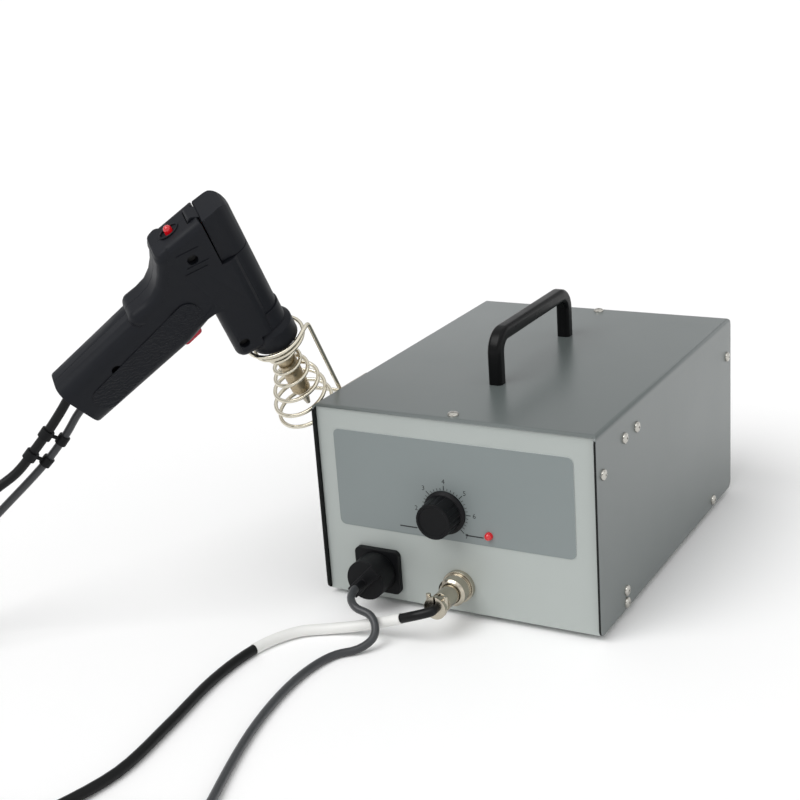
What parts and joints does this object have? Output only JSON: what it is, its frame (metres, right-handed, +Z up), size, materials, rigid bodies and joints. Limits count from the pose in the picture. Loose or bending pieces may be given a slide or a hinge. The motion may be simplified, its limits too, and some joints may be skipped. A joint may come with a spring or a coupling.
{
  "type": "desoldering station",
  "caption": "Vacuum desoldering station: boxed pump unit with knob, outlet and connector, and a pistol-grip iron resting nose down in a coiled wire holder on its side.",
  "frame": {"origin": "centre of the case's footprint on the table, at the bottom of the rubber feet", "axes": "+Z up, -Y out of the front panel, +X to the right seen from the front"},
  "size_m": [0.412, 0.6427, 0.2724],
  "materials": {
    "silver_paint": "fine textured light silver paint",
    "gray_paint": "satin dark gray paint",
    "overlay_film": "printed gray film",
    "black_plastic": "matte moulded",
    "shell_plastic": "satin moulded",
    "red_plastic": "satin crimson",
    "nickel": "nickel plate",
    "chrome_wire": "bright plated",
    "heater_steel": "plain turned",
    "black_rubber": "matte",
    "hose_rubber": "smooth",
    "cable_rubber": "smooth",
    "red_lens": "clear red",
    "white_felt": "felt",
    "white_sleeve": "shrink sleeve",
    "green_laminate": "circuit board",
    "lamination_steel": "laminated",
    "winding_tape": "taped",
    "clear_glass": "clear",
    "red_silicone": "silicone"
  },
  "bodies": {
    "station": {"chassis": "silver_paint", "cover": "gray_paint", "front_overlay": "overlay_film", "carry_handle": "black_plastic", "cover_screws": "nickel", "rubber_feet": "black_rubber", "potentiometer": "nickel", "pump_led": "red_lens", "status_led": "red_lens", "vacuum_flange": "black_plastic", "vacuum_filter": "white_felt", "receptacle": "nickel", "plug_shell": "nickel", "plug_clamp": "nickel", "mains_inlet": "black_plastic", "mains_pins": "nickel", "fuse_holder": "black_plastic", "switch_housing": "black_plastic", "circuit_board": "green_laminate", "transformer_core": "lamination_steel", "transformer_winding": "winding_tape", "pump_motor": "nickel", "pump_head": "black_plastic", "holder_wire": "chrome_wire", "holder_clamp": "nickel", "hose_iron_run": "hose_rubber", "cable_iron_run": "cable_rubber", "hose_coil": "hose_rubber", "cable_coil": "cable_rubber", "hose_front_run": "hose_rubber", "cable_front_run": "cable_rubber", "cord_clips": "black_plastic", "cable_sleeve": "white_sleeve"},
    "knob": {"knob": "black_plastic", "pot_shaft": "nickel"},
    "outlet_cap": {"vacuum_cap": "black_plastic"},
    "plug_ring": {"plug_ring": "nickel"},
    "rocker": {"rocker": "black_plastic"},
    "fuse_cap": {"fuse_cap": "black_plastic"},
    "pump_rotor": {"pump_rotor": "nickel"},
    "iron": {"iron_shell_left": "shell_plastic", "iron_shell_right": "shell_plastic", "iron_screws": "nickel", "iron_collar": "shell_plastic", "iron_led": "red_lens", "heater_cover": "shell_plastic", "heater_barrel": "heater_steel", "nozzle": "heater_steel", "filter_pipe": "clear_glass", "filter_cone": "heater_steel", "filter_disc": "white_felt", "front_seal": "red_silicone", "microswitch": "black_plastic", "grip_grommet": "black_rubber", "hood_pin": "nickel"},
    "hood": {"iron_hood": "shell_plastic", "rear_seal": "red_silicone"},
    "trigger": {"trigger": "red_plastic"}
  },
  "joints": [
    {"name": "iron_lift", "type": "slide", "parent": "station", "child": "iron", "axis": [0, -0.5, 0.866], "range_m": [0, 0.11]},
    {"name": "hood_swing", "type": "hinge", "parent": "iron", "child": "hood", "pos_m": [-0.12398, -0.18439, 0.26008], "axis": [0.7071, -0.6124, -0.3536], "range_deg": [0, 75]},
    {"name": "trigger_pull", "type": "hinge", "parent": "iron", "child": "trigger", "pos_m": [-0.14175, -0.16687, 0.1942], "axis": [-0.7071, 0.6124, 0.3536], "range_deg": [0, 6], "stiffness_Nm_per_rad": 0.8, "springref_deg": -3.44},
    {"name": "knob_turn", "type": "hinge", "parent": "station", "child": "knob", "pos_m": [-0.006, -0.13, 0.0693], "axis": [0, -1, 0], "range_deg": [-135, 135]},
    {"name": "outlet_cap_turn", "type": "hinge", "parent": "station", "child": "outlet_cap", "pos_m": [-0.055, -0.135, 0.0238], "axis": [0, -1, 0], "range_deg": [0, 45]},
    {"name": "plug_ring_turn", "type": "hinge", "parent": "station", "child": "plug_ring", "pos_m": [0.001, -0.13, 0.0217], "axis": [0, -1, 0], "range_deg": [0, 720]},
    {"name": "power_switch", "type": "hinge", "parent": "station", "child": "rocker", "pos_m": [0.05, 0.122, 0.034], "axis": [-1, 0, 0], "range_deg": [0, 19.4]},
    {"name": "fuse_cap_turn", "type": "hinge", "parent": "station", "child": "fuse_cap", "pos_m": [-0.002, 0.13, 0.034], "axis": [0, 1, 0], "range_deg": [0, 90]},
    {"name": "pump_spin", "type": "hinge", "parent": "station", "child": "pump_rotor", "pos_m": [0.03999, 0.058, 0.0395], "axis": [1, 0, 0], "continuous": true}
  ]
}
